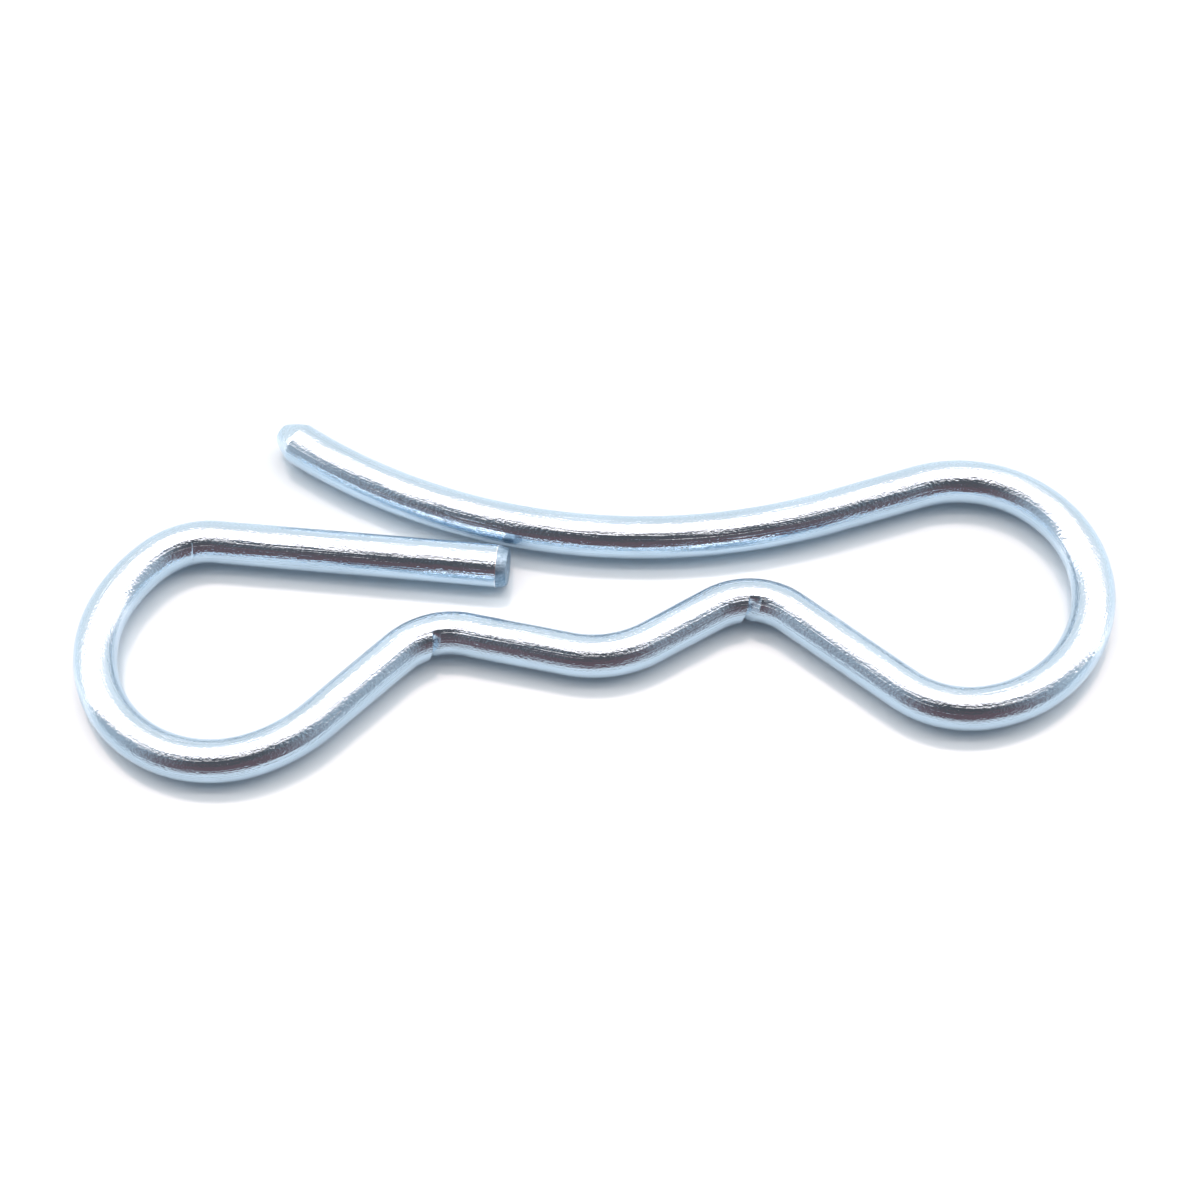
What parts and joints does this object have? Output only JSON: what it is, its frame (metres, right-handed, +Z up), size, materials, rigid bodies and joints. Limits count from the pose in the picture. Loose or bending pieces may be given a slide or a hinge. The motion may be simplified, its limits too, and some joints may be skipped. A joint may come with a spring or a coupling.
{
  "type": "bow tie cotter pin",
  "caption": "Spring wire locking pin: a long arm passes through a cross hole and a curved seat snaps round the shaft between two loops.",
  "frame": {"origin": "deepest point of the shaft seat on the shaft's side, in the plane that the pin lies on", "axes": "+X along the pin, towards the loop that the long arm comes out of; +Y from the seat to the long arm; +Z up, along a seated shaft"},
  "size_m": [0.0901, 0.0351, 0.0038],
  "materials": {
    "zinc": "bright blue-white zinc plating on drawn spring steel wire, glossy, with fine draw lines and tool marks"
  },
  "bodies": {
    "root": {"wire": "zinc"}
  },
  "joints": []
}
